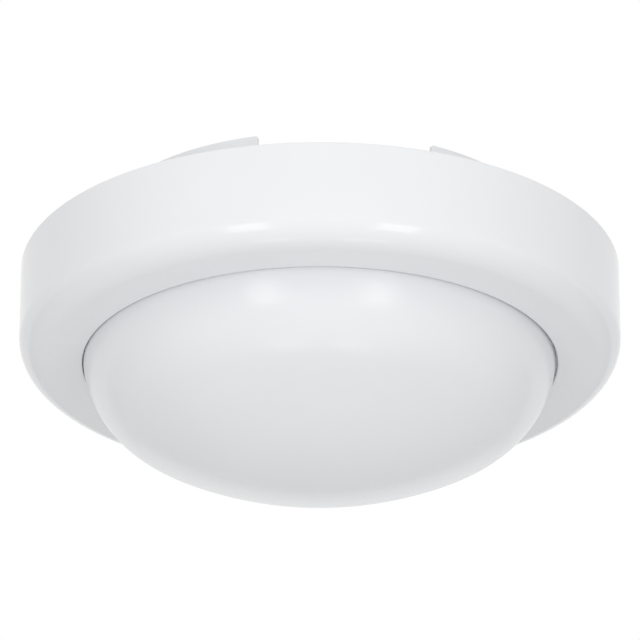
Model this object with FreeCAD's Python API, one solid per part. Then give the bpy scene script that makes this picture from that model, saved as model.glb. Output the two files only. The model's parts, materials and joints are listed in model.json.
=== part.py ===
import FreeCAD, Part
import math
import os

# Round soffit light. Millimetres, +Z up. The soffit's underside is the plane z = 0, and the light hangs
# below it, centred on the Z axis. -Y is the front. Angles are degrees about +Z, anticlockwise from +X
# when seen from above.

# ---- bezel: the white cover ring ----
bezel_radius = 125.0
bezel_height = 42.65
bezel_wall = 2.5
bezel_lower_rounding = 10.7
bezel_rim_rounding = 0.8
bezel_face_width = 26.3          # from its outside to the opening for the dome
bezel_opening_rounding = 0.6
bezel_rib_count = 24
bezel_rib_thickness = 1.6
bezel_rib_height = 14.0

# ---- bezel: the hub wall inside it, which twists on to the base ----
hub_wall = 2.5
hub_above_lugs = 2.0
snap_bead_count = 8
snap_bead_sweep = 10.0
snap_bead_height = 1.6
snap_bead_overlap = 0.8
snap_bead_gap = 0.1

# ---- diffuser: the opal dome ----
diffuser_wall = 2.0
diffuser_side_clearance = 0.4
diffuser_shift = 0.25            # it lies loose in the opening, this far towards -X
diffuser_shoulder_radius = 39.5
diffuser_crown_radius = 160.0
diffuser_flange_thickness = 2.5
diffuser_flange_edge_gap = 1.3   # from the flange's edge to the hub wall

# ---- base: plate and stand-off wall ----
standoff_height = 20.15          # from the soffit to the bezel's upper rim
standoff_radius = 93.3
standoff_wall = 2.0
standoff_corner_rounding = 1.0
standoff_count = 4
standoff_gap_sweep = 44.8
standoff_gap_turn = 6.7          # the front gap's middle, turned this far from -Y towards +X
base_recess = 1.5                # from the bezel's rim down to the plate
base_plate_thickness = 3.0
base_edge_gap = 1.0
fixing_circle_diameter = 160.0
fixing_hole_radius = 2.5
fixing_pillar_radius = 6.0
rear_rib_thickness = 1.8
rear_rib_height = 5.0            # of the ribs between dam and pillars, above the plate
grommet_dam_radius = 18.0
grommet_dam_wall = 1.6
grommet_dam_height = 3.5

# ---- base: spigot, its seal and the bayonet lugs ----
spigot_inset = 21.0              # from the bezel's outside to the spigot's
spigot_wall = 4.0
tongue_wall = 1.6
seal_height = 6.0
seal_floor = 2.0
seal_fit_gap = 0.05
lug_count = 4
lug_first_angle = 45.0
lug_thickness = 3.0
lug_reach = 2.6
lug_side_gap = 0.5               # radial gap on both sides of the meshing lugs
lug_above_seal = 2.0
base_lug_sweep = 24.0
cover_lug_sweep = 20.0
lug_stop_sweep = 3.0
lug_stop_gap = 0.5
lug_release_margin = 2.0         # turn beyond the point where the lugs part

# ---- screws, shared ----
tapping_gap = 0.05               # radial gap of a screw in the hole it bites into
screw_clearance = 0.3            # radial gap of a screw in a hole it passes through
screw_radius = 1.5
screw_head_radius = 2.9
screw_head_height = 2.0
recess_width = 0.9
recess_depth = 1.1
boss_wall = 3.0

# ---- gear tray ----
tray_thickness = 1.5
tray_edge_gap = 1.0
tray_lip_height = 4.0
tray_boss_height = 26.0
tray_boss_inset = 13.0           # from the tray's edge
tray_boss_count = 4
tray_screw_length = 12.0
tray_lead_hole_radius = 5.5

# ---- LED board ----
board_screw_head_gap = 3.7       # from the board's edge to the driver's screw heads
board_thickness = 1.6
board_screw_inset = 24.0         # from the board's edge
board_screw_count = 4
board_screw_end_gap = 0.2        # the screws end this far below the tray's upper face
chip_length = 3.5
chip_width = 2.8
chip_height = 0.8
chip_ring_insets = (46.0, 33.0, 14.0)   # from the board's edge, innermost ring first
chip_ring_counts = (6, 12, 20)
connector_length = 8.0
connector_width = 10.0
connector_height = 4.6
connector_inset = 4.0            # from the board's edge

# ---- driver ----
driver_length = 100.0
driver_width = 42.0
driver_height = 20.0
driver_wall = 1.6
driver_clamp_gap = 1.0           # from the cable clamp's end to the driver
driver_ear_length = 12.0
driver_ear_thickness = 3.0
driver_screw_length = 6.0
driver_board_gap = 1.0
driver_board_standoff = 2.0
driver_standoff_radius = 2.5
driver_lead_height = 12.0        # lead holes above the tray
transformer_length = 22.0
transformer_width = 19.0
transformer_top_gap = 1.2        # below the driver's lid
transformer_x = 8.0
transformer_leg = 4.0
winding_gap = 0.3
capacitor_radius = 5.0
capacitor_length = 16.0
capacitor_count = 2
capacitor_pitch = 12.0
capacitor_lead_gap = 1.0         # from the supply leads' ends to the first one
capacitor_seat_gap = 0.2
choke_radius = 6.0
choke_bore_radius = 2.5
choke_height = 9.0
choke_lead_gap = 2.0             # from the LED leads' ends

# ---- cable entry ----
grommet_hole_radius = 10.0
grommet_fit_gap = 0.05
grommet_bore_radius = 4.5
grommet_flange_radius = 13.0
grommet_rear_thickness = 2.5
grommet_front_thickness = 5.0
grommet_nose_radius = 8.0
cable_gap = 0.2                  # radial, between the supply cable and the grommet
clamp_x = -24.0
clamp_end_wall = 4.5             # from a screw's axis to the bar's end
clamp_width = 9.0
clamp_thickness = 4.5
clamp_screw_spacing = 19.0
clamp_boss_height = 7.0
clamp_screw_bite = 1.5           # beyond the boss, into the plate

# ---- terminal block ----
terminal_y = 40.0
pole_pitch = 11.0
pole_count = 3
terminal_end_wall = 3.0
terminal_width = 20.0
terminal_height = 15.0
terminal_pad_height = 2.5
terminal_fixing_bite = 1.0       # beyond the pad, into the plate
clamp_tube_radius = 3.2
clamp_tube_length = 17.0
clamp_tube_gap = 0.1
clamp_tube_web = 1.0             # between its two blind bores
terminal_screw_radius = 1.3
terminal_screw_head_radius = 1.9
terminal_screw_offset = 4.5
terminal_screw_tip_gap = 0.2

# ---- leads inside the light ----
lead_radius = 1.2
lead_hole_gap = 0.25
lead_spacing = 4.0
lead_bend_radius = 5.0
lead_tail = 8.0                  # straight end inside the driver's case
lead_end_gap = 0.3
mains_lead_gap = 7.0             # from the driver's end to the nearer supply lead's axis
led_lead_gap = 6.0               # from the LED board's edge to the nearer LED lead's axis
terminal_lead_run = 9.0          # from the terminal block to the leads' first bend
earth_screw_gap = 3.5            # from the LED board's edge to the earth screw's axis
earth_angle = 28.2
tag_radius = 4.0
tag_thickness = 0.8
tag_barrel_length = 8.0
tag_barrel_wall = 0.6
earth_screw_length = 5.0

# ---- heights and radii that follow ----
bezel_rim_z = -standoff_height
bezel_bottom_z = bezel_rim_z - bezel_height
flange_seat_z = bezel_bottom_z + bezel_wall
flange_top_z = flange_seat_z + diffuser_flange_thickness
seal_top_z = flange_top_z + seal_height
tongue_end_z = flange_top_z + seal_floor
plate_top_z = bezel_rim_z - base_recess
plate_bottom_z = plate_top_z - base_plate_thickness
base_lug_bottom_z = seal_top_z + lug_above_seal
lug_contact_z = base_lug_bottom_z + lug_thickness
cover_lug_top_z = lug_contact_z + lug_thickness
hub_top_z = cover_lug_top_z + hub_above_lugs
bezel_inner_radius = bezel_radius - bezel_wall
plate_radius = bezel_inner_radius - base_edge_gap
bezel_opening_radius = bezel_radius - bezel_face_width
spigot_outer_radius = bezel_radius - spigot_inset
spigot_inner_radius = spigot_outer_radius - spigot_wall
spigot_middle_radius = spigot_outer_radius - spigot_wall / 2
base_lug_radius = spigot_outer_radius + lug_reach
hub_inner_radius = base_lug_radius + lug_side_gap
hub_outer_radius = hub_inner_radius + hub_wall
cover_lug_inner_radius = spigot_outer_radius + lug_side_gap
flange_radius = hub_inner_radius - diffuser_flange_edge_gap
diffuser_radius = bezel_opening_radius - diffuser_side_clearance
tray_top_z = plate_bottom_z - tray_boss_height
tray_bottom_z = tray_top_z - tray_thickness
tray_radius = spigot_inner_radius - tray_edge_gap
tray_boss_circle_radius = tray_radius - tray_boss_inset
board_bottom_z = tray_bottom_z - board_thickness
connector_lead_z = board_bottom_z - connector_height / 2
clamp_length = clamp_screw_spacing + 2 * clamp_end_wall
driver_y = -(clamp_length / 2 + driver_clamp_gap + driver_width / 2)
driver_floor_z = tray_top_z + driver_wall
driver_lid_z = tray_top_z + driver_height - driver_wall
driver_board_z = driver_floor_z + driver_board_standoff
driver_board_top_z = driver_board_z + board_thickness
driver_lead_z = tray_top_z + driver_lead_height
driver_board_length = driver_length - 2 * driver_wall - 2 * driver_board_gap
driver_board_width = driver_width - 2 * driver_wall - 2 * driver_board_gap
transformer_height = driver_lid_z - transformer_top_gap - driver_board_top_z
capacitor_first_x = -driver_length / 2 + lead_tail + capacitor_lead_gap + capacitor_radius
choke_x = driver_length / 2 - lead_tail - choke_lead_gap - choke_radius
lead_hole_radius = lead_radius + lead_hole_gap
terminal_top_z = plate_bottom_z - terminal_pad_height
terminal_bottom_z = terminal_top_z - terminal_height
terminal_lead_z = terminal_top_z - terminal_height / 2
terminal_length = pole_count * pole_pitch + 2 * terminal_end_wall
terminal_fixing_length = terminal_height + terminal_pad_height + terminal_fixing_bite
clamp_top_z = plate_bottom_z - clamp_boss_height
clamp_bottom_z = clamp_top_z - clamp_thickness
clamp_screw_length = clamp_thickness + clamp_boss_height + clamp_screw_bite
cable_radius = grommet_bore_radius - cable_gap
cable_z = plate_bottom_z - cable_radius
unlock_turn = base_lug_sweep + lug_release_margin
standoff_arc_sweep = 360.0 / standoff_count - standoff_gap_sweep
standoff_first_angle = -90.0 + standoff_gap_turn + standoff_gap_sweep / 2
tapping_hole_radius = screw_radius + tapping_gap
clear_hole_radius = screw_radius + screw_clearance
boss_radius = tapping_hole_radius + boss_wall
board_screw_length = board_thickness + tray_thickness - board_screw_end_gap

AXIS = FreeCAD.Vector(0, 0, 1)
ORIGIN = FreeCAD.Vector(0, 0, 0)


def save(name, shape):
    """Writes one piece, or one group of identical pieces, to its own file."""
    os.makedirs("parts", exist_ok=True)
    print(name, len(shape.Solids), "solid(s), valid", shape.isValid(), round(shape.Volume, 1), "mm3")
    shape.exportStep("parts/" + name + ".step")


def polar(radius, angle):
    return radius * math.cos(math.radians(angle)), radius * math.sin(math.radians(angle))


def around(count, first_angle=0.0):
    """Evenly spaced angles round the axis."""
    return [first_angle + 360.0 * i / count for i in range(count)]


def post(radius, low, high, x=0.0, y=0.0):
    return Part.makeCylinder(radius, high - low, FreeCAD.Vector(x, y, low))


def ring(outer, inner, low, high):
    return post(outer, low, high).cut(post(inner, low, high))


def sector(outer, inner, low, high, start, sweep):
    """Part of a ring, from the angle start on through sweep degrees."""
    wedge = Part.makeCylinder(outer, high - low, FreeCAD.Vector(0, 0, low), AXIS, sweep)
    wedge.rotate(ORIGIN, AXIS, start)
    return wedge.cut(post(inner, low, high))


def block(length, width, low, high, x=0.0, y=0.0):
    """A box with its middle over (x, y)."""
    corner = FreeCAD.Vector(x - length / 2, y - width / 2, low)
    return Part.makeBox(length, width, high - low, corner)


def rod_along_x(radius, x_start, x_end, y, z):
    return Part.makeCylinder(radius, x_end - x_start, FreeCAD.Vector(x_start, y, z), FreeCAD.Vector(1, 0, 0))


def rod_along_y(radius, y_start, y_end, x, z):
    return Part.makeCylinder(radius, y_end - y_start, FreeCAD.Vector(x, y_start, z), FreeCAD.Vector(0, 1, 0))


def rounded_edges(points, radii, closed):
    """Straight edges from point to point, with a tangent arc of each point's radius at its corner."""
    count = len(points)
    starts, ends, arcs = [], [], []
    for i, (corner, radius) in enumerate(zip(points, radii)):
        if radius == 0:
            starts.append(corner)
            ends.append(corner)
            continue
        before = (corner - points[i - 1]).normalize()
        after = (points[(i + 1) % count] - corner).normalize()
        half_turn = before.getAngle(after) / 2
        setback = radius * math.tan(half_turn)
        start = corner - before * setback
        end = corner + after * setback
        inward = (after - before).normalize()
        middle = corner + inward * (radius / math.cos(half_turn) - radius)
        arcs.append(Part.Arc(start, middle, end).toShape())
        starts.append(start)
        ends.append(end)
    last = count if closed else count - 1
    lines = [Part.makeLine(ends[i], starts[(i + 1) % count]) for i in range(last)]
    return Part.__sortEdges__(lines + arcs)


def turned(corners):
    """A solid of revolution about Z. Each corner is (radius, z, rounding)."""
    points = [FreeCAD.Vector(r, 0, z) for r, z, rounding in corners]
    edges = rounded_edges(points, [rounding for r, z, rounding in corners], True)
    return Part.Face(Part.Wire(edges)).revolve(ORIGIN, AXIS, 360)


def lead(points):
    """A round insulated lead along straight runs joined by tangent arcs."""
    route = [FreeCAD.Vector(*p) for p in points]
    radii = [0.0] + [lead_bend_radius] * (len(route) - 2) + [0.0]
    path = Part.Wire(rounded_edges(route, radii, False))
    first_run = (route[1] - route[0]).normalize()
    section = Part.Wire([Part.makeCircle(lead_radius, route[0], first_run)])
    tube = path.makePipeShell([section], True, False)
    print("lead", round(path.Length, 1), "mm long, volume over section times length",
          round(tube.Volume / (math.pi * lead_radius ** 2 * path.Length), 4))
    return tube


def screw(x, y, seat_z, length, points_up=True, radius=screw_radius, head_radius=screw_head_radius):
    """Pan-head screw with a cross recess. Its head bears on seat_z, and its shank goes up, or down."""
    shank = post(radius, 0, length)
    head = post(head_radius, -screw_head_height, 0)
    outer_edge = [e for e in head.Edges if e.BoundBox.ZMax < -screw_head_height / 2]
    head = head.makeFillet(screw_head_height / 3, outer_edge)
    recess_top = -screw_head_height + recess_depth
    recess = block(2 * radius, recess_width, -screw_head_height, recess_top)
    recess = recess.fuse(block(recess_width, 2 * radius, -screw_head_height, recess_top))
    body = head.cut(recess).fuse(shank).removeSplitter()
    if not points_up:
        body.rotate(ORIGIN, FreeCAD.Vector(1, 0, 0), 180)
    body.translate(FreeCAD.Vector(x, y, seat_z))
    return body


def fused(first, others):
    return first.multiFuse(others).removeSplitter()


# ---- places that more than one piece uses ----
fixing_places = [polar(fixing_circle_diameter / 2, a + standoff_arc_sweep / 2)
                 for a in around(standoff_count, standoff_first_angle)]
tray_boss_places = [polar(tray_boss_circle_radius, a)
                    for a in around(tray_boss_count, standoff_first_angle - standoff_gap_sweep / 2)]
driver_ear_x = driver_length / 2 + driver_ear_length / 2
driver_screw_places = [(-driver_ear_x, driver_y), (driver_ear_x, driver_y)]
board_radius = math.hypot(driver_ear_x, driver_y) - screw_head_radius - board_screw_head_gap
board_screw_places = [polar(board_radius - board_screw_inset, a) for a in around(board_screw_count, 45.0)]
clamp_screw_places = [(clamp_x, side * clamp_screw_spacing / 2) for side in (-1, 1)]
pole_x = [pole_pitch * (i - (pole_count - 1) / 2) for i in range(pole_count)]
terminal_fixing_places = [(pole_x[i] + pole_pitch / 2, terminal_y) for i in (0, pole_count - 2)]
terminal_screw_places = [(x, terminal_y + side * terminal_screw_offset) for x in pole_x for side in (-1, 1)]
connector_x = board_radius - connector_inset - connector_length / 2
mains_lead_x = -driver_length / 2 - mains_lead_gap
led_lead_x = board_radius + led_lead_gap
led_lead_hole_x = led_lead_x + lead_spacing / 2
led_lead_ends = [-lead_spacing / 2, lead_spacing / 2]
earth_x, earth_y = polar(board_radius + earth_screw_gap, earth_angle)
mains_lead_y = [driver_y + side * lead_spacing / 2 for side in (1, -1)]
driver_standoff_places = [(sx * (driver_board_length / 2 - driver_standoff_radius),
                           driver_y + sy * (driver_board_width / 2 - driver_standoff_radius))
                          for sx in (-1, 1) for sy in (-1, 1)]
capacitor_x = [capacitor_first_x + capacitor_pitch * i for i in range(capacitor_count)]
lug_angles = around(lug_count, lug_first_angle)


def make_bezel():
    """Cover ring: outer wall, flat lower face, hub wall, and its lugs, snap beads and ribs."""
    inner_rounding = max(bezel_lower_rounding - bezel_wall, bezel_rim_rounding)
    shell = turned([
        (bezel_radius, bezel_rim_z, bezel_rim_rounding),
        (bezel_radius, bezel_bottom_z, bezel_lower_rounding),
        (bezel_opening_radius, bezel_bottom_z, bezel_opening_rounding),
        (bezel_opening_radius, flange_seat_z, 0),
        (hub_inner_radius, flange_seat_z, 0),
        (hub_inner_radius, hub_top_z, 0),
        (hub_outer_radius, hub_top_z, 0),
        (hub_outer_radius, flange_seat_z, 0),
        (bezel_inner_radius, flange_seat_z, inner_rounding),
        (bezel_inner_radius, bezel_rim_z, 0),
    ])
    hub_middle_radius = hub_inner_radius + hub_wall / 2
    cover_lug_end = base_lug_sweep / 2 - lug_stop_gap
    lugs = [sector(hub_middle_radius, cover_lug_inner_radius, lug_contact_z, cover_lug_top_z,
                   a + cover_lug_end - cover_lug_sweep, cover_lug_sweep) for a in lug_angles]
    bead_low = flange_top_z + snap_bead_gap
    beads = [sector(hub_middle_radius, flange_radius - snap_bead_overlap, bead_low,
                    bead_low + snap_bead_height, a - snap_bead_sweep / 2, snap_bead_sweep)
             for a in around(snap_bead_count)]
    wall_middle_radius = bezel_radius - bezel_wall / 2
    ribs = []
    for a in around(bezel_rib_count):
        rib = block(wall_middle_radius - hub_middle_radius, bezel_rib_thickness,
                    bezel_bottom_z, flange_seat_z + bezel_rib_height,
                    (wall_middle_radius + hub_middle_radius) / 2)
        rib.rotate(ORIGIN, AXIS, a)
        ribs.append(rib.common(rib_space()))
    return fused(shell, lugs + beads + ribs)


def rib_space():
    """What a rib may fill: half the walls' thickness and all between them, inside the outer skin."""
    skin = bezel_wall / 2
    return turned([
        (hub_inner_radius + hub_wall / 2, bezel_rim_z, 0),
        (bezel_radius - skin, bezel_rim_z, 0),
        (bezel_radius - skin, bezel_bottom_z + skin, max(bezel_lower_rounding - skin, skin)),
        (hub_inner_radius + hub_wall / 2, bezel_bottom_z + skin, 0),
    ])


def dome_points(inset):
    """Start, middle and end points of the dome's shoulder and crown arcs, drawn in from its outside."""
    shoulder = diffuser_shoulder_radius - inset
    crown = diffuser_crown_radius - inset
    shoulder_x = diffuser_radius - diffuser_shoulder_radius
    centre_distance = diffuser_crown_radius - diffuser_shoulder_radius
    crown_centre_z = flange_top_z + math.sqrt(centre_distance ** 2 - shoulder_x ** 2)
    join_angle = math.acos(shoulder_x / centre_distance)
    side = FreeCAD.Vector(shoulder_x + shoulder, 0, flange_top_z)
    middle = FreeCAD.Vector(shoulder_x + shoulder * math.cos(join_angle / 2), 0,
                            flange_top_z - shoulder * math.sin(join_angle / 2))
    join = FreeCAD.Vector(shoulder_x + shoulder * math.cos(join_angle), 0,
                          flange_top_z - shoulder * math.sin(join_angle))
    crown_angle = (join_angle + math.pi / 2) / 2
    crown_middle = FreeCAD.Vector(crown * math.cos(crown_angle), 0,
                                  crown_centre_z - crown * math.sin(crown_angle))
    apex = FreeCAD.Vector(0, 0, crown_centre_z - crown)
    return side, middle, join, crown_middle, apex


def make_diffuser():
    """Opal dome of even wall: a shoulder arc, a flatter crown, and the flange that the bezel carries."""
    side, middle, join, crown_middle, apex = dome_points(0)
    in_side, in_middle, in_join, in_crown_middle, in_apex = dome_points(diffuser_wall)
    edges = [
        Part.Arc(side, middle, join).toShape(),
        Part.Arc(join, crown_middle, apex).toShape(),
        Part.makeLine(apex, in_apex),
        Part.Arc(in_apex, in_crown_middle, in_join).toShape(),
        Part.Arc(in_join, in_middle, in_side).toShape(),
        Part.makeLine(in_side, side),
    ]
    dome = Part.Face(Part.Wire(edges)).revolve(ORIGIN, AXIS, 360)
    flange = ring(flange_radius, diffuser_radius - diffuser_wall, flange_seat_z, flange_top_z)
    body = fused(dome, [flange])
    body.translate(FreeCAD.Vector(-diffuser_shift, 0, 0))
    return body


def make_base():
    """Moulded base: plate, stand-off arcs, fixing pillars, spigot with lugs, and the bosses inside."""
    solids = [
        ring(spigot_outer_radius, spigot_inner_radius, seal_top_z, plate_bottom_z),
        ring(spigot_middle_radius + tongue_wall / 2, spigot_middle_radius - tongue_wall / 2,
             tongue_end_z, seal_top_z),
    ]
    dam_top_z = plate_top_z + grommet_dam_height
    solids.append(ring(grommet_dam_radius, grommet_dam_radius - grommet_dam_wall, plate_top_z, dam_top_z))
    for start in around(standoff_count, standoff_first_angle):
        solids.append(standoff_arc(start))
        middle = start + standoff_arc_sweep / 2
        solids.append(radial_rib(fixing_circle_diameter / 2, standoff_radius - standoff_wall / 2,
                                 -plate_top_z, middle))
        solids.append(radial_rib(grommet_dam_radius - grommet_dam_wall / 2, fixing_circle_diameter / 2,
                                 rear_rib_height, middle))
    for x, y in fixing_places:
        solids.append(post(fixing_pillar_radius, plate_top_z, 0, x, y))
    solids += base_lugs()
    for x, y in tray_boss_places:
        solids.append(post(boss_radius, tray_top_z, plate_bottom_z, x, y))
    for x, y in clamp_screw_places:
        solids.append(post(boss_radius, clamp_top_z, plate_bottom_z, x, y))
    for x, y in terminal_fixing_places:
        solids.append(post(boss_radius, terminal_top_z, plate_bottom_z, x, y))
    body = fused(post(plate_radius, plate_bottom_z, plate_top_z), solids)
    cuts = [post(fixing_hole_radius, plate_bottom_z, 0, x, y) for x, y in fixing_places]
    cuts.append(post(grommet_hole_radius, plate_bottom_z, plate_top_z))
    cuts += screw_bores(tray_boss_places, tray_bottom_z, tray_screw_length)
    cuts += screw_bores(clamp_screw_places, clamp_bottom_z, clamp_screw_length)
    cuts += screw_bores(terminal_fixing_places, terminal_bottom_z, terminal_fixing_length)
    return body.cut(Part.makeCompound(cuts))


def standoff_arc(start):
    """One arc of the stand-off wall, with the corners at its ends rounded where it meets the soffit."""
    arc = sector(standoff_radius, standoff_radius - standoff_wall, plate_top_z, 0, start, standoff_arc_sweep)
    corners = [e for e in arc.Edges if e.BoundBox.ZMin > plate_top_z / 2 and e.Length < 2 * standoff_wall]
    return arc.makeFillet(standoff_corner_rounding, corners)


def radial_rib(inner, outer, height, angle):
    """A rib on the plate's rear face, along a radius."""
    rib = block(outer - inner, rear_rib_thickness, plate_top_z, plate_top_z + height, (inner + outer) / 2)
    rib.rotate(ORIGIN, AXIS, angle)
    return rib


def screw_bores(places, head_z, length):
    """Blind holes for screws whose heads bear at head_z, a little deeper than their tips."""
    tip_room = screw_radius / 5
    return [post(tapping_hole_radius, head_z, head_z + length + tip_room, x, y) for x, y in places]


def base_lugs():
    """Bayonet lugs on the spigot, each with a stop for the locked cover and one for the released cover."""
    made = []
    locked_stop = base_lug_sweep / 2
    released_stop = locked_stop - 2 * lug_stop_gap - cover_lug_sweep - unlock_turn - lug_stop_sweep
    for a in lug_angles:
        made.append(sector(base_lug_radius, spigot_middle_radius, base_lug_bottom_z, lug_contact_z,
                           a - base_lug_sweep / 2, base_lug_sweep))
        for stop in (locked_stop, released_stop):
            made.append(sector(base_lug_radius, spigot_middle_radius, base_lug_bottom_z, cover_lug_top_z,
                               a + stop, lug_stop_sweep))
    return made


def make_seal():
    """Channel-shaped ring pushed on to the spigot's tongue. The diffuser's flange closes against it."""
    body = ring(spigot_outer_radius, spigot_inner_radius, flange_top_z, seal_top_z)
    half_groove = tongue_wall / 2 + seal_fit_gap
    return body.cut(ring(spigot_middle_radius + half_groove, spigot_middle_radius - half_groove,
                         tongue_end_z, seal_top_z))


def make_grommet():
    """Rubber grommet held by its groove, with a longer nose on the inside."""
    neck = grommet_hole_radius - grommet_fit_gap
    front_z = plate_bottom_z - grommet_front_thickness
    return turned([
        (grommet_bore_radius, plate_top_z + grommet_rear_thickness, 0),
        (grommet_flange_radius, plate_top_z + grommet_rear_thickness, grommet_rear_thickness / 3),
        (grommet_flange_radius, plate_top_z, 0),
        (neck, plate_top_z, 0),
        (neck, plate_bottom_z, 0),
        (grommet_flange_radius, plate_bottom_z, 0),
        (grommet_nose_radius, front_z, 0),
        (grommet_bore_radius, front_z, 0),
    ])


def make_cable_clamp():
    """Bar over the supply cable's place, with a round saddle across it."""
    bar = block(clamp_width, clamp_length, clamp_bottom_z, clamp_top_z, clamp_x)
    upright = [e for e in bar.Edges if e.BoundBox.ZLength > clamp_thickness / 2]
    bar = bar.makeFillet(clamp_width / 3, upright)
    cuts = [post(clear_hole_radius, clamp_bottom_z, clamp_top_z, x, y) for x, y in clamp_screw_places]
    cuts.append(rod_along_x(cable_radius, clamp_x - clamp_width, clamp_x + clamp_width, 0, cable_z))
    return bar.cut(Part.makeCompound(cuts))


def make_terminal_block():
    """Insulating body: a tunnel for each pole, screw wells from below and two fixing holes."""
    body = block(terminal_length, terminal_width, terminal_bottom_z, terminal_top_z, 0, terminal_y)
    half = terminal_width / 2
    cuts = []
    for x in pole_x:
        cuts.append(rod_along_y(clamp_tube_radius + clamp_tube_gap, terminal_y - half, terminal_y + half,
                                x, terminal_lead_z))
    for x, y in terminal_screw_places:
        cuts.append(post(terminal_screw_head_radius + screw_clearance, terminal_bottom_z, terminal_lead_z,
                         x, y))
    for x, y in terminal_fixing_places:
        cuts.append(post(clear_hole_radius, terminal_bottom_z, terminal_top_z, x, y))
    return body.cut(Part.makeCompound(cuts))


def make_terminal_clamps():
    """One brass tube a pole: a blind bore from each end, and a tapped hole from below into each bore."""
    tubes = []
    half_web = clamp_tube_web / 2
    half_tube = clamp_tube_length / 2
    for x in pole_x:
        tube = rod_along_y(clamp_tube_radius, terminal_y - half_tube, terminal_y + half_tube,
                           x, terminal_lead_z)
        cuts = [
            rod_along_y(lead_hole_radius, terminal_y - half_tube, terminal_y - half_web, x, terminal_lead_z),
            rod_along_y(lead_hole_radius, terminal_y + half_web, terminal_y + half_tube, x, terminal_lead_z),
        ]
        cuts += [post(terminal_screw_radius + tapping_gap, terminal_lead_z - 2 * clamp_tube_radius,
                      terminal_lead_z, x, terminal_y + side * terminal_screw_offset) for side in (-1, 1)]
        tubes.append(tube.cut(Part.makeCompound(cuts)))
    return Part.makeCompound(tubes)


def make_terminal_screws():
    """Clamping screws: their tips stop just short of the lead's bore."""
    tip_z = terminal_lead_z - lead_hole_radius - terminal_screw_tip_gap
    head_seat_z = terminal_bottom_z + screw_head_height
    return Part.makeCompound([screw(x, y, head_seat_z, tip_z - head_seat_z, True, terminal_screw_radius,
                                    terminal_screw_head_radius) for x, y in terminal_screw_places])


def make_gear_tray():
    """Aluminium disc with an upturned lip, which carries the driver above and the LED board below."""
    body = ring(tray_radius, tray_radius - tray_thickness, tray_bottom_z, tray_top_z + tray_lip_height)
    body = fused(body, [post(tray_radius, tray_bottom_z, tray_top_z)])
    passed = tray_boss_places + driver_screw_places
    cuts = [post(clear_hole_radius, tray_bottom_z, tray_top_z, x, y) for x, y in passed]
    tapped = board_screw_places + [(earth_x, earth_y)]
    cuts += [post(tapping_hole_radius, tray_bottom_z, tray_top_z, x, y) for x, y in tapped]
    cuts.append(post(tray_lead_hole_radius, tray_bottom_z, tray_top_z, led_lead_hole_x, 0))
    return body.cut(Part.makeCompound(cuts))


def make_led_board():
    board = post(board_radius, board_bottom_z, tray_bottom_z)
    holes = [post(clear_hole_radius, board_bottom_z, tray_bottom_z, x, y) for x, y in board_screw_places]
    return board.cut(Part.makeCompound(holes))


def make_led_chips():
    """Rings of surface-mounted LEDs on the board's underside."""
    chips = []
    for inset, count in zip(chip_ring_insets, chip_ring_counts):
        for a in around(count, 180.0 / count):
            chip = block(chip_length, chip_width, board_bottom_z - chip_height, board_bottom_z,
                         board_radius - inset)
            chip.rotate(ORIGIN, AXIS, a)
            chips.append(chip)
    return Part.makeCompound(chips)


def make_board_connector():
    """Push-in connector on the board's underside, with a socket for each lead."""
    body = block(connector_length, connector_width, board_bottom_z - connector_height, board_bottom_z,
                 connector_x)
    sockets = [rod_along_x(lead_hole_radius, connector_x - connector_length / 4,
                           connector_x + connector_length / 2, y, connector_lead_z) for y in led_lead_ends]
    return body.cut(Part.makeCompound(sockets))


def make_driver_case():
    """Open box with an ear at each end, board stand-offs inside and holes for the leads in its ends."""
    outside = block(driver_length, driver_width, tray_top_z, driver_lid_z, 0, driver_y)
    inside = block(driver_length - 2 * driver_wall, driver_width - 2 * driver_wall,
                   driver_floor_z, driver_lid_z, 0, driver_y)
    ears = [block(driver_ear_length + driver_wall, driver_ear_length, tray_top_z,
                  tray_top_z + driver_ear_thickness, side * (driver_ear_x - driver_wall / 2), driver_y)
            for side in (-1, 1)]
    shell = fused(outside, ears).cut(inside)
    pads = [post(driver_standoff_radius, tray_top_z + driver_wall / 2, driver_board_z, x, y)
            for x, y in driver_standoff_places]
    cuts = [post(tapping_hole_radius, tray_top_z, tray_top_z + driver_ear_thickness, x, y)
            for x, y in driver_screw_places]
    for y in mains_lead_y:
        cuts.append(rod_along_x(lead_hole_radius, -driver_length, driver_length, y, driver_lead_z))
    return fused(shell, pads).cut(Part.makeCompound(cuts))


def make_driver_lid():
    return block(driver_length, driver_width, driver_lid_z, tray_top_z + driver_height, 0, driver_y)


def make_driver_board():
    return block(driver_board_length, driver_board_width, driver_board_z, driver_board_top_z, 0, driver_y)


def make_transformer_core():
    """Ferrite frame: two side legs and two yokes round the winding."""
    top_z = driver_board_top_z + transformer_height
    frame = block(transformer_length, transformer_width, driver_board_top_z, top_z, transformer_x, driver_y)
    window = block(transformer_length - 2 * transformer_leg, transformer_width, driver_board_top_z,
                   top_z - transformer_leg, transformer_x, driver_y)
    return frame.cut(window)


def make_transformer_winding():
    """Taped winding in the core's window, standing on the board."""
    length = transformer_length - 2 * transformer_leg - 2 * winding_gap
    top_z = driver_board_top_z + transformer_height - transformer_leg - winding_gap
    body = block(length, transformer_width - 2 * winding_gap, driver_board_top_z, top_z,
                 transformer_x, driver_y)
    upright = [e for e in body.Edges if e.BoundBox.ZLength > transformer_leg]
    return body.makeFillet(transformer_leg / 2, upright)


def make_driver_capacitors():
    """Electrolytic capacitors, lying just above the driver's board."""
    axis_z = driver_board_top_z + capacitor_radius + capacitor_seat_gap
    return Part.makeCompound([rod_along_y(capacitor_radius, driver_y - capacitor_length / 2,
                                          driver_y + capacitor_length / 2, x, axis_z) for x in capacitor_x])


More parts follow.
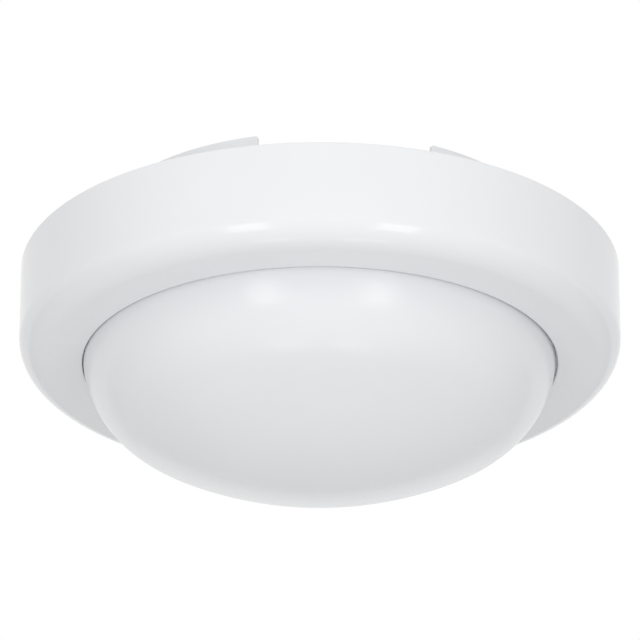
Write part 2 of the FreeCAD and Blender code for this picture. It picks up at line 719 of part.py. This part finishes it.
def make_driver_choke():
    """Ring-core choke standing on the board."""
    core = post(choke_radius, driver_board_top_z, driver_board_top_z + choke_height, choke_x, driver_y)
    bore = post(choke_bore_radius, driver_board_top_z, driver_board_top_z + choke_height, choke_x, driver_y)
    return core.cut(bore)


def make_earth_tag():
    """Ring tag under the earth screw, with a barrel that takes the lead."""
    barrel_outer = lead_hole_radius + tag_barrel_wall
    end = earth_y + tag_radius + tag_barrel_length
    barrel_z = tray_top_z + barrel_outer
    ring_plate = post(tag_radius, tray_top_z, tray_top_z + tag_thickness, earth_x, earth_y)
    neck = block(2 * tag_thickness, tag_radius, tray_top_z, tray_top_z + tag_thickness, earth_x,
                 earth_y + tag_radius)
    barrel = rod_along_y(barrel_outer, earth_y + tag_radius, end, earth_x, barrel_z)
    bore = rod_along_y(lead_hole_radius, earth_y + tag_radius, end, earth_x, barrel_z)
    hole = post(clear_hole_radius, tray_top_z, tray_top_z + tag_thickness, earth_x, earth_y)
    return fused(ring_plate, [neck, barrel]).cut(bore).cut(hole)


def make_supply_lead(pole, row):
    """Lead from the terminal block round the driver's end and into its case."""
    start_y = terminal_y + clamp_tube_web / 2 + lead_end_gap
    run_y = terminal_y + terminal_width / 2 + terminal_lead_run + row * lead_spacing
    side_x = mains_lead_x - row * lead_spacing
    end_y = mains_lead_y[row]
    return lead([
        (pole_x[pole], start_y, terminal_lead_z),
        (pole_x[pole], run_y, terminal_lead_z),
        (side_x, run_y, terminal_lead_z),
        (side_x, end_y, driver_lead_z),
        (-driver_length / 2 + lead_tail, end_y, driver_lead_z),
    ])


def make_earth_lead():
    """Lead from the third pole down to the tag on the tray."""
    start_y = terminal_y + clamp_tube_web / 2 + lead_end_gap
    run_y = terminal_y + terminal_width / 2 + terminal_lead_run
    tag_end_y = earth_y + tag_radius + tag_barrel_length
    barrel_z = tray_top_z + lead_hole_radius + tag_barrel_wall
    return lead([
        (pole_x[-1], start_y, terminal_lead_z),
        (pole_x[-1], run_y, terminal_lead_z),
        (earth_x, run_y, terminal_lead_z),
        (earth_x, tag_end_y + lead_bend_radius, barrel_z),
        (earth_x, tag_end_y - tag_barrel_length / 2, barrel_z),
    ])


def make_led_lead(row):
    """Lead from the driver, down through the tray's hole and into the board's connector."""
    drop_x = led_lead_x + row * lead_spacing
    start_y = mains_lead_y[row]
    end_y = led_lead_ends[row]
    return lead([
        (driver_length / 2 - lead_tail, start_y, driver_lead_z),
        (drop_x, start_y, driver_lead_z),
        (drop_x, end_y, driver_lead_z),
        (drop_x, end_y, connector_lead_z),
        (connector_x, end_y, connector_lead_z),
    ])


save("base", make_base())
save("diffuser_seal", make_seal())
save("cable_grommet", make_grommet())
save("cable_clamp", make_cable_clamp())
save("cable_clamp_screws", Part.makeCompound(
    [screw(x, y, clamp_bottom_z, clamp_screw_length) for x, y in clamp_screw_places]))
save("terminal_block", make_terminal_block())
save("terminal_clamps", make_terminal_clamps())
save("terminal_screws", make_terminal_screws())
save("terminal_block_screws", Part.makeCompound(
    [screw(x, y, terminal_bottom_z, terminal_fixing_length) for x, y in terminal_fixing_places]))
save("gear_tray", make_gear_tray())
save("tray_screws", Part.makeCompound(
    [screw(x, y, tray_bottom_z, tray_screw_length) for x, y in tray_boss_places]))
save("led_board", make_led_board())
save("led_chips", make_led_chips())
save("led_board_screws", Part.makeCompound(
    [screw(x, y, board_bottom_z, board_screw_length) for x, y in board_screw_places]))
save("board_connector", make_board_connector())
save("driver_case", make_driver_case())
save("driver_lid", make_driver_lid())
save("driver_board", make_driver_board())
save("transformer_core", make_transformer_core())
save("transformer_winding", make_transformer_winding())
save("driver_capacitors", make_driver_capacitors())
save("driver_choke", make_driver_choke())
save("driver_screws", Part.makeCompound(
    [screw(x, y, tray_bottom_z, driver_screw_length) for x, y in driver_screw_places]))
save("live_lead", make_supply_lead(0, 0))
save("neutral_lead", make_supply_lead(1, 1))
save("earth_lead", make_earth_lead())
save("earth_tag", make_earth_tag())
save("earth_screw", screw(earth_x, earth_y, tray_top_z + tag_thickness, earth_screw_length, False))
save("led_lead_positive", make_led_lead(0))
save("led_lead_negative", make_led_lead(1))
save("bezel", make_bezel())
save("diffuser", make_diffuser())
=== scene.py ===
import json
import math

import bmesh
import bpy
from mathutils import Matrix, Vector


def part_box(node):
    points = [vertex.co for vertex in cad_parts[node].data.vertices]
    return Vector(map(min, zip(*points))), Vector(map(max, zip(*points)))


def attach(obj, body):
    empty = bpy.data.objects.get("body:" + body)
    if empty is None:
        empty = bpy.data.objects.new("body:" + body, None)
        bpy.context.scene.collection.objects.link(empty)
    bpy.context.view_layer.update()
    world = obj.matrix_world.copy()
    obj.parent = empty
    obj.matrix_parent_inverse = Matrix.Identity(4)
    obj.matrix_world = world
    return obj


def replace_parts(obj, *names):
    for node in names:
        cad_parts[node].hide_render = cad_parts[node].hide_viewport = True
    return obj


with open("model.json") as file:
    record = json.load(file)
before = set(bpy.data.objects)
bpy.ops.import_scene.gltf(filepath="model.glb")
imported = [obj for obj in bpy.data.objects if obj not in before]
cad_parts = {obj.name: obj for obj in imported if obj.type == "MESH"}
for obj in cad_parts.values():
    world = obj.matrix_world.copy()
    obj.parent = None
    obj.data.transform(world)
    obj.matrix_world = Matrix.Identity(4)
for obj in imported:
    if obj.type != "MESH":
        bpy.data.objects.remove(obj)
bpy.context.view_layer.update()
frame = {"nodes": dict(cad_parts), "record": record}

MM = 0.001

# ---- sizes in millimetres that the frame's boxes don't give ----
bezel_wall = 2.5
bezel_lower_rounding = 10.7
bezel_rim_rounding = 0.8
bezel_face_width = 26.3          # from its outside to the opening for the dome
bezel_opening_rounding = 0.6
hub_inner_radius = 107.1
hub_wall = 2.5
hub_above_lugs = 2.0
rib_count = 24
rib_thickness = 1.6
rib_height = 14.0
lug_angles = (45.0, 135.0, 225.0, 315.0)
lug_start = -8.5                 # from the lug's place on the base, anticlockwise from above
lug_sweep = 20.0
lug_inner_radius = 104.5
lug_thickness = 3.0
lug_above_flange = 11.0          # from the flange's upper face to the lug's lower face
bead_count = 8
bead_sweep = 10.0
bead_inner_radius = 105.0
bead_height = 1.6
bead_gap = 0.1
dome_side_clearance = 0.4
dome_wall = 2.0
dome_shoulder_radius = 39.5
dome_crown_radius = 160.0
dome_flange_thickness = 2.5
grommet_neck_radius = 9.95
grommet_bore_radius = 4.5
grommet_nose_radius = 8.0
grommet_rear_thickness = 2.5
grommet_front_thickness = 5.0
edge_break = 0.3                 # rounding of the base's, the lugs' and the beads' moulded edges

# ---- the photograph's camera ----
camera_elevation = -24.13        # degrees: it looks up at the light
camera_distance = 2191.0
camera_aim_z = -58.15
camera_lens = 296.5
frame_pixels = 640
aim_pixels_below_middle = 37.55


def box_mm(name):
    low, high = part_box(name)
    return low / MM, high / MM


bezel_low, bezel_high = box_mm("bezel")
bezel_radius = (bezel_high.x - bezel_low.x) / 2
bezel_rim_z = bezel_high.z
bezel_bottom_z = bezel_low.z
flange_seat_z = bezel_bottom_z + bezel_wall
flange_top_z = flange_seat_z + dome_flange_thickness
lug_low_z = flange_top_z + lug_above_flange
hub_top_z = lug_low_z + lug_thickness + hub_above_lugs
bezel_opening_radius = bezel_radius - bezel_face_width
bezel_inner_radius = bezel_radius - bezel_wall
hub_outer_radius = hub_inner_radius + hub_wall
hub_middle_radius = hub_inner_radius + hub_wall / 2
dome_radius = bezel_opening_radius - dome_side_clearance
dome_low, dome_high = box_mm("diffuser")
dome_x = (dome_low.x + dome_high.x) / 2
flange_radius = (dome_high.x - dome_low.x) / 2


# ---- materials ----
def linear(hex_colour):
    """An sRGB hex colour as linear RGBA."""
    values = [int(hex_colour[i:i + 2], 16) / 255 for i in (1, 3, 5)]
    return [v / 12.92 if v <= 0.04045 else ((v + 0.055) / 1.055) ** 2.4 for v in values] + [1.0]


def add(tree, kind, links=None, settings=None, **values):
    """Adds a node: its input values by name, its links from other nodes' outputs, and its settings."""
    made = tree.nodes.new(kind)
    for key, value in (settings or {}).items():
        setattr(made, key, value)
    for key, value in values.items():
        made.inputs[key.replace("_", " ")].default_value = value
    for key, output in (links or {}).items():
        tree.links.new(output, made.inputs[key])
    return made


def two_tone(ramp, dark, light, low=0.3, high=0.7):
    """Sets a colour ramp's two ends."""
    for end, colour, place in zip(ramp.color_ramp.elements, (dark, light), (low, high)):
        end.color = linear(colour)
        end.position = place


def surface(name, dark, light, patch_mm, grain_mm, grain_depth_um, roughness, sockets=None):
    """A solid surface: colour and gloss drift a little in patches, over a fine grain.

    roughness is (smoothest, roughest). sockets holds the shader's other values.
    """
    material = bpy.data.materials.new(name)
    material.use_nodes = True
    tree = material.node_tree
    shader = tree.nodes["Principled BSDF"]
    for key, value in (sockets or {}).items():
        shader.inputs[key].default_value = value
    place = add(tree, "ShaderNodeTexCoord").outputs["Object"]
    patches = add(tree, "ShaderNodeTexNoise", {"Vector": place}, Scale=1 / (patch_mm * MM), Detail=3.0)
    ramp = add(tree, "ShaderNodeValToRGB", {"Fac": patches.outputs["Fac"]})
    two_tone(ramp, dark, light)
    gloss = add(tree, "ShaderNodeMapRange", {"Value": patches.outputs["Fac"]},
                From_Min=0.3, From_Max=0.7, To_Min=roughness[0], To_Max=roughness[1])
    grain = add(tree, "ShaderNodeTexNoise", {"Vector": place}, Scale=1 / (grain_mm * MM), Detail=2.0)
    bump = add(tree, "ShaderNodeBump", {"Height": grain.outputs["Fac"]},
               Strength=1.0, Distance=grain_depth_um * 1e-6)
    tree.links.new(ramp.outputs["Color"], shader.inputs["Base Color"])
    tree.links.new(gloss.outputs["Result"], shader.inputs["Roughness"])
    tree.links.new(bump.outputs["Normal"], shader.inputs["Normal"])
    return material


# Polished-mould PC/ABS: a clean cool white, with a faint long orange peel that softens its reflections.
bezel_plastic = surface("moulded_gloss_pc_abs", "#E6E7E9", "#E8E9EB", 60, 9, 9, (0.12, 0.15),
                        {"Specular IOR Level": 0.35})

# Opal polycarbonate: a milky satin white that light enters a little way, a shade greyer than the bezel.
opal_plastic = surface("moulded_opal_polycarbonate", "#E6E8EA", "#E8EAEC", 45, 2.5, 3, (0.21, 0.25),
                       {"Specular IOR Level": 0.4})

# Spark-eroded mould PC/ABS: the same white, with a fine even matt grain.
base_plastic = surface("moulded_grained_pc_abs", "#DFE0E2", "#E2E3E5", 35, 0.7, 9, (0.42, 0.5))

# Silicone rubber: grey-white, dull and slightly waxy.
seal_rubber = surface("moulded_silicone", "#C9C9C5", "#D3D3CF", 12, 0.6, 8, (0.55, 0.65))

# EPDM rubber: near black and dull, with a fine tooth that greys it at the edges.
grommet_rubber = surface("moulded_epdm_rubber", "#1B1B1D", "#242427", 5, 0.35, 18, (0.6, 0.72))

# Natural nylon: warm off-white with cloudy patches.
nylon = surface("moulded_natural_nylon", "#DAD8CE", "#E4E2DA", 6, 0.5, 6, (0.38, 0.48),
                {"Subsurface Weight": 0.2, "Subsurface Radius": (0.002, 0.002, 0.0015),
                 "Subsurface Scale": 1.0})

# Drawn brass: yellow metal with faint dull patches.
brass = surface("drawn_brass", "#B08D43", "#C9A659", 3, 0.3, 5, (0.24, 0.36), {"Metallic": 1.0})

# Zinc-plated steel: cool bright grey, blotched by the passivation.
zinc_steel = surface("zinc_plated_steel", "#A6A9AE", "#BFC2C6", 2.5, 0.3, 6, (0.26, 0.4), {"Metallic": 1.0})

# Powder-coated aluminium: white with a fine orange peel.
powder_coat = surface("powder_coated_aluminium", "#E4E4E2", "#EAEAE8", 40, 1.2, 22, (0.36, 0.44))

# Solder mask on an aluminium board: a smooth chalky white.
solder_mask = surface("white_solder_mask", "#EAEAE8", "#F0F0EE", 15, 0.8, 5, (0.4, 0.48))

# Moulded polycarbonate of the driver's box: plain satin white.
driver_plastic = surface("moulded_satin_polycarbonate", "#E0E0DE", "#E6E6E4", 20, 0.8, 10, (0.34, 0.42))

# Glass-epoxy board under green solder mask: glossy, the cloth's weave just showing as a grain.
green_board = surface("green_masked_glass_epoxy", "#1C5B31", "#236B3B", 1.2, 0.5, 8, (0.22, 0.3))

# Sintered ferrite: dark grey and stony.
ferrite = surface("sintered_ferrite", "#2A2A2C", "#36363A", 1.5, 0.4, 20, (0.5, 0.65))

# Polyester tape: yellow and shiny, with shallow wrinkles.
winding_tape = surface("wound_polyester_tape", "#D9B62E", "#E4C440", 4, 1.4, 30, (0.2, 0.28))

# Shrink sleeve: dark blue and glossy over the can.
capacitor_sleeve = surface("shrunk_pvc_sleeve", "#161E3C", "#1D274C", 5, 2, 20, (0.2, 0.28))


def insulation(name, dark, light):
    """Extruded PVC: an even colour with a soft gloss and slight drawing marks."""
    return surface(name, dark, light, 8, 0.6, 6, (0.32, 0.4))


def striped_insulation():
    """Extruded PVC in green, with the yellow stripe that runs along an earth lead."""
    material = insulation("extruded_green_yellow_pvc", "#2E8A3C", "#36983F")
    tree = material.node_tree
    shader = tree.nodes["Principled BSDF"]
    green = shader.inputs["Base Color"].links[0].from_socket
    place = add(tree, "ShaderNodeTexCoord").outputs["Object"]
    bands = add(tree, "ShaderNodeTexWave", {"Vector": place}, {"bands_direction": "DIAGONAL"},
                Scale=120.0, Distortion=0.5)
    edge = add(tree, "ShaderNodeValToRGB", {"Fac": bands.outputs["Fac"]})
    two_tone(edge, "#000000", "#FFFFFF", 0.55, 0.6)
    mixed = add(tree, "ShaderNodeMix", {0: edge.outputs["Color"], 6: green}, {"data_type": "RGBA"})
    mixed.inputs[7].default_value = linear("#E6CB25")
    tree.links.new(mixed.outputs[2], shader.inputs["Base Color"])
    return material


def phosphor():
    """LED package: white ceramic sides, and yellow phosphor on the face that looks down."""
    material = surface("phosphor_filled_led_package", "#E4B93A", "#F0CB55", 0.8, 0.25, 8, (0.4, 0.5))
    tree = material.node_tree
    shader = tree.nodes["Principled BSDF"]
    yellow = shader.inputs["Base Color"].links[0].from_socket
    normal = add(tree, "ShaderNodeNewGeometry").outputs["Normal"]
    facing = add(tree, "ShaderNodeSeparateXYZ", {"Vector": normal})
    side = add(tree, "ShaderNodeMapRange", {"Value": facing.outputs["Z"]}, From_Min=-0.9, From_Max=-0.5)
    mixed = add(tree, "ShaderNodeMix", {0: side.outputs["Result"], 6: yellow}, {"data_type": "RGBA"})
    mixed.inputs[7].default_value = linear("#EDEDEA")
    tree.links.new(mixed.outputs[2], shader.inputs["Base Color"])
    return material


surface_of_slot = {
    "bezel_white": bezel_plastic,
    "opal_diffuser": opal_plastic,
    "base_white": base_plastic,
    "seal_silicone": seal_rubber,
    "grommet_rubber": grommet_rubber,
    "clamp_nylon": nylon,
    "terminal_nylon": nylon,
    "brass": brass,
    "zinc_steel": zinc_steel,
    "tray_white": powder_coat,
    "board_white": solder_mask,
    "led_phosphor": phosphor(),
    "driver_casing": driver_plastic,
    "driver_laminate": green_board,
    "ferrite": ferrite,
    "winding_tape": winding_tape,
    "capacitor_sleeve": capacitor_sleeve,
    "lead_brown": insulation("extruded_brown_pvc", "#4A2A18", "#56321E"),
    "lead_blue": insulation("extruded_blue_pvc", "#1B4FA0", "#235AAE"),
    "lead_green_yellow": striped_insulation(),
    "lead_red": insulation("extruded_red_pvc", "#A81C1A", "#B82522"),
    "lead_black": insulation("extruded_black_pvc", "#1A1A1B", "#232325"),
}
slot_of_node = {part["node"]: part["material_slot"] for part in frame["record"]["subparts"]}
for node_name, cad_node in frame["nodes"].items():
    cad_node.data.materials.clear()
    cad_node.data.materials.append(surface_of_slot[slot_of_node[node_name]])


# ---- shaping, in millimetres ----
def rounded_outline(bm, corners, segments):
    """Makes a face in the XZ plane. Each corner is (radius, z, rounding)."""
    verts = [bm.verts.new((r, 0, z)) for r, z, rounding in corners]
    bm.faces.new(verts)
    for vert, (r, z, rounding) in zip(verts, corners):
        if rounding:
            before, after = [edge.other_vert(vert).co - vert.co for edge in vert.link_edges]
            setback = rounding / math.tan(before.angle(after) / 2)
            bmesh.ops.bevel(bm, geom=[vert], offset=setback, offset_type="OFFSET", segments=segments,
                            profile=0.5, affect="VERTICES", material=-1, clamp_overlap=False)
    bm.faces.ensure_lookup_table()
    return bm.faces[0]


def turn_once(bm, steps):
    """Spins all that is drawn once round the light's axis."""
    bmesh.ops.spin(bm, geom=list(bm.verts) + list(bm.edges), cent=(0, 0, 0), axis=(0, 0, 1),
                   angle=2 * math.pi, steps=steps, use_merge=True)
    bmesh.ops.remove_doubles(bm, verts=bm.verts, dist=1e-4)
    bmesh.ops.recalc_face_normals(bm, faces=bm.faces)


def turned_ring(corners, segments, steps):
    """A ring whose section is a rounded outline."""
    bm = bmesh.new()
    section = rounded_outline(bm, corners, segments)
    bmesh.ops.delete(bm, geom=[section], context="FACES_ONLY")
    turn_once(bm, steps)
    return bm


def join(bm, other):
    """Adds another bmesh to this one, and frees it."""
    mesh = bpy.data.meshes.new("joined_shape")
    other.to_mesh(mesh)
    other.free()
    bm.from_mesh(mesh)
    bpy.data.meshes.remove(mesh)


def sector(outer, inner, low, high, start, sweep, steps, rounding):
    """Part of a ring between two angles in degrees, with its edges rounded."""
    bm = bmesh.new()
    face = rounded_outline(bm, [(inner, low, 0), (outer, low, 0), (outer, high, 0), (inner, high, 0)], 1)
    bmesh.ops.spin(bm, geom=list(bm.verts) + list(bm.edges) + [face], cent=(0, 0, 0), axis=(0, 0, 1),
                   angle=math.radians(sweep), steps=steps)
    bmesh.ops.remove_doubles(bm, verts=bm.verts, dist=1e-4)
    bmesh.ops.recalc_face_normals(bm, faces=bm.faces)
    sharp = [e for e in bm.edges if len(e.link_faces) == 2 and e.calc_face_angle() > math.radians(50)]
    bmesh.ops.bevel(bm, geom=sharp, offset=rounding, offset_type="OFFSET", segments=2, profile=0.5,
                    affect="EDGES", material=-1, clamp_overlap=True)
    bmesh.ops.rotate(bm, cent=(0, 0, 0), matrix=Matrix.Rotation(math.radians(start), 3, "Z"), verts=bm.verts)
    return bm


def rib(angle):
    """One stiffening rib between the bezel's hub wall and its outer wall, down to its lower face."""
    bm = bmesh.new()
    skin = bezel_wall / 2
    low = bezel_bottom_z + skin
    high = flange_seat_z + rib_height
    side = rounded_outline(bm, [
        (hub_middle_radius, low, 0),
        (bezel_radius - skin, low, bezel_lower_rounding - skin),
        (bezel_radius - skin, high, 0),
        (hub_middle_radius, high, 0),
    ], 8)
    bmesh.ops.translate(bm, vec=(0, -rib_thickness / 2, 0), verts=bm.verts)
    far_side = bmesh.ops.extrude_face_region(bm, geom=[side], use_keep_orig=True)["geom"]
    bmesh.ops.translate(bm, vec=(0, rib_thickness, 0),
                        verts=[v for v in far_side if isinstance(v, bmesh.types.BMVert)])
    bmesh.ops.recalc_face_normals(bm, faces=bm.faces)
    bmesh.ops.rotate(bm, cent=(0, 0, 0), matrix=Matrix.Rotation(math.radians(angle), 3, "Z"), verts=bm.verts)
    return bm


def make_piece(bm, name, slot_name, body, sharp_angle=40.0):
    """Makes the piece's object from a bmesh in millimetres, and lets it ride on its body."""
    bmesh.ops.scale(bm, vec=(MM, MM, MM), verts=bm.verts)
    for face in bm.faces:
        face.smooth = True
    mesh = bpy.data.meshes.new(name)
    bm.to_mesh(mesh)
    bm.free()
    mesh.set_sharp_from_angle(angle=math.radians(sharp_angle))
    mesh.materials.append(surface_of_slot[slot_name])
    piece = bpy.data.objects.new(name, mesh)
    bpy.context.scene.collection.objects.link(piece)
    weighted = piece.modifiers.new("flat_faces_stay_flat", "WEIGHTED_NORMAL")
    weighted.keep_sharp = True
    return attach(piece, body)


# ---- the cover's bezel ----
def make_bezel():
    bm = turned_ring([
        (bezel_radius, bezel_rim_z, bezel_rim_rounding),
        (bezel_radius, bezel_bottom_z, bezel_lower_rounding),
        (bezel_opening_radius, bezel_bottom_z, bezel_opening_rounding),
        (bezel_opening_radius, flange_seat_z, 0),
        (hub_inner_radius, flange_seat_z, 0),
        (hub_inner_radius, hub_top_z, 0.4),
        (hub_outer_radius, hub_top_z, 0.4),
        (hub_outer_radius, flange_seat_z, 0.5),
        (bezel_inner_radius, flange_seat_z, bezel_lower_rounding - bezel_wall),
        (bezel_inner_radius, bezel_rim_z, 0.3),
    ], 12, 240)
    for angle in lug_angles:
        join(bm, sector(hub_middle_radius, lug_inner_radius, lug_low_z, lug_low_z + lug_thickness,
                        angle + lug_start, lug_sweep, 14, edge_break))
    bead_low = flange_top_z + bead_gap
    for i in range(bead_count):
        join(bm, sector(hub_middle_radius, bead_inner_radius, bead_low, bead_low + bead_height,
                        360.0 * i / bead_count - bead_sweep / 2, bead_sweep, 8, edge_break))
    for i in range(rib_count):
        join(bm, rib(360.0 * i / rib_count))
    return make_piece(bm, "bezel_ring", "bezel_white", "cover")


# ---- the cover's opal dome ----
def make_dome():
    bm = bmesh.new()
    shoulder_x = dome_radius - dome_shoulder_radius
    reach = dome_crown_radius - dome_shoulder_radius
    crown_centre = Vector((0, 0, flange_top_z + math.sqrt(reach ** 2 - shoulder_x ** 2)))
    shoulder_centre = Vector((shoulder_x, 0, flange_top_z))
    join_angle = math.acos(shoulder_x / reach)
    starts = []
    for inset in (0.0, dome_wall):
        start = bm.verts.new(shoulder_centre + Vector((dome_shoulder_radius - inset, 0, 0)))
        shoulder = bmesh.ops.spin(bm, geom=[start], cent=shoulder_centre, axis=(0, 1, 0), angle=join_angle,
                                  steps=28)
        crown = bmesh.ops.spin(bm, geom=[shoulder["geom_last"][0]], cent=crown_centre, axis=(0, 1, 0),
                               angle=math.pi / 2 - join_angle, steps=28)
        crown["geom_last"][0].co.x = 0.0
        starts.append(start)
    corners = ((dome_radius, flange_seat_z), (flange_radius, flange_seat_z), (flange_radius, flange_top_z))
    path = [starts[0]] + [bm.verts.new((r, 0, z)) for r, z in corners] + [starts[1]]
    for a, b in zip(path, path[1:]):
        bm.edges.new((a, b))
    turn_once(bm, 240)
    bmesh.ops.translate(bm, vec=(dome_x, 0, 0), verts=bm.verts)
    return make_piece(bm, "opal_dome", "opal_diffuser", "cover")


# ---- the base, with its moulded edges rounded ----
def make_base():
    bm = bmesh.new()
    bm.from_mesh(frame["nodes"]["base"].data)
    bmesh.ops.scale(bm, vec=(1 / MM, 1 / MM, 1 / MM), verts=bm.verts)
    bmesh.ops.remove_doubles(bm, verts=bm.verts, dist=2e-3)
    bmesh.ops.dissolve_limit(bm, angle_limit=math.radians(0.5), verts=bm.verts, edges=bm.edges)
    bmesh.ops.recalc_face_normals(bm, faces=bm.faces)
    outer_edges = [e for e in bm.edges if len(e.link_faces) == 2 and e.is_convex
                   and e.calc_face_angle() > math.radians(40) and e.calc_length() > 0.02]
    bmesh.ops.bevel(bm, geom=outer_edges, offset=edge_break, offset_type="OFFSET", segments=2, profile=0.5,
                    affect="EDGES", material=-1, clamp_overlap=True)
    bmesh.ops.remove_doubles(bm, verts=bm.verts, dist=1e-3)
    bmesh.ops.recalc_face_normals(bm, faces=bm.faces)
    return make_piece(bm, "moulded_base", "base_white", "base_assembly", 32.0)


# ---- the rubber grommet in the base ----
def make_grommet():
    low, high = box_mm("cable_grommet")
    flange = (high.x - low.x) / 2
    rear_seat_z = high.z - grommet_rear_thickness
    front_seat_z = low.z + grommet_front_thickness
    bm = turned_ring([
        (grommet_bore_radius, high.z, 0.4),
        (flange, high.z, grommet_rear_thickness / 3),
        (flange, rear_seat_z, 0.2),
        (grommet_neck_radius, rear_seat_z, 0),
        (grommet_neck_radius, front_seat_z, 0),
        (flange, front_seat_z, 0.3),
        (grommet_nose_radius, low.z, 0.5),
        (grommet_bore_radius, low.z, 0.4),
    ], 6, 96)
    return make_piece(bm, "rubber_grommet", "grommet_rubber", "base_assembly")


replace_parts(make_bezel(), "bezel")
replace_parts(make_dome(), "diffuser")
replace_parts(make_base(), "base")
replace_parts(make_grommet(), "cable_grommet")


# ---- floor, light and camera, in metres ----
floor_half_width = 9.0
floor_z = -1.35

def make_floor():
    bm = bmesh.new()
    bmesh.ops.create_grid(bm, x_segments=1, y_segments=1, size=floor_half_width)
    bmesh.ops.translate(bm, vec=(0, 0, floor_z), verts=bm.verts)
    mesh = bpy.data.meshes.new("studio_floor")
    bm.to_mesh(mesh)
    bm.free()
    # Matt painted board: a plain pale sweep, just uneven enough not to look like bare computer white.
    mesh.materials.append(surface("matt_painted_board", "#E4E4E4", "#E8E8E8", 900, 4, 60, (0.85, 0.95)))
    floor = bpy.data.objects.new("studio_floor", mesh)
    bpy.context.scene.collection.objects.link(floor)


# Each lamp: name, azimuth in degrees from the front (positive to the right), elevation in degrees, then its
# distance, width and height in metres, and its brightness.
lamps = (
    ("key_high", 0, 30, 2.6, 1.8, 1.4, 1.7),
    ("strip_left", -25, -14, 1.0, 0.24, 0.46, 3.3),
    ("strip_right", 27, -14, 1.0, 0.24, 0.46, 3.5),
    ("low_left", -38, -74, 1.0, 0.2, 0.2, 1.5),
    ("low_right", 38, -74, 1.0, 0.2, 0.2, 1.5),
    ("low_front", 0, -66, 1.1, 0.7, 0.5, 1.2),
    ("rear_high", 155, 52, 2.2, 1.2, 1.2, 0.7),
)
# The lamps that show in glossy surfaces. The others only add soft light.
mirrored_lamps = ("strip_left", "strip_right", "low_left", "low_right")
fill_brightness = 0.715


def make_lamp(name, azimuth, elevation, distance, width, height, brightness):
    data = bpy.data.lights.new(name, "AREA")
    data.shape = "RECTANGLE"
    data.size = width
    data.size_y = height
    data.energy = brightness * math.pi * width * height
    lamp = bpy.data.objects.new(name, data)
    bpy.context.scene.collection.objects.link(lamp)
    a, e = math.radians(azimuth), math.radians(elevation)
    away = Vector((math.sin(a) * math.cos(e), -math.cos(a) * math.cos(e), math.sin(e)))
    lamp.location = Vector((0, 0, camera_aim_z * MM)) + away * distance
    lamp.rotation_mode = "QUATERNION"
    lamp.rotation_quaternion = away.to_track_quat("Z", "Y")
    lamp.visible_glossy = name in mirrored_lamps


def make_world():
    """White to the camera and in reflections, and an even soft fill on the object."""
    world = bpy.data.worlds.new("studio")
    bpy.context.scene.world = world
    world.use_nodes = True
    tree = world.node_tree
    tree.nodes.clear()
    path = add(tree, "ShaderNodeLightPath")
    seen = add(tree, "ShaderNodeMath", {0: path.outputs["Is Camera Ray"], 1: path.outputs["Is Glossy Ray"]},
               {"operation": "MAXIMUM"})
    seen = add(tree, "ShaderNodeMath", {0: seen.outputs[0], 1: path.outputs["Is Transmission Ray"]},
               {"operation": "MAXIMUM"})
    fill = add(tree, "ShaderNodeBackground", Color=(1, 1, 1, 1), Strength=fill_brightness)
    white = add(tree, "ShaderNodeBackground", Color=(1, 1, 1, 1), Strength=1.0)
    mixed = add(tree, "ShaderNodeMixShader", {0: seen.outputs[0], 1: fill.outputs[0], 2: white.outputs[0]})
    add(tree, "ShaderNodeOutputWorld", {"Surface": mixed.outputs[0]})


def make_camera():
    data = bpy.data.cameras.new("camera")
    data.lens = camera_lens
    data.sensor_width = 36.0
    data.shift_y = aim_pixels_below_middle / frame_pixels
    data.clip_start = 0.05
    data.clip_end = 50.0
    camera = bpy.data.objects.new("camera", data)
    bpy.context.scene.collection.objects.link(camera)
    e = math.radians(camera_elevation)
    back = Vector((0, -math.cos(e), math.sin(e)))
    camera.location = (Vector((0, 0, camera_aim_z)) + back * camera_distance) * MM
    camera.rotation_mode = "QUATERNION"
    camera.rotation_quaternion = back.to_track_quat("Z", "Y")
    bpy.context.scene.camera = camera


make_floor()
for lamp in lamps:
    make_lamp(*lamp)
make_world()
make_camera()
bpy.context.scene.view_settings.view_transform = "Standard"
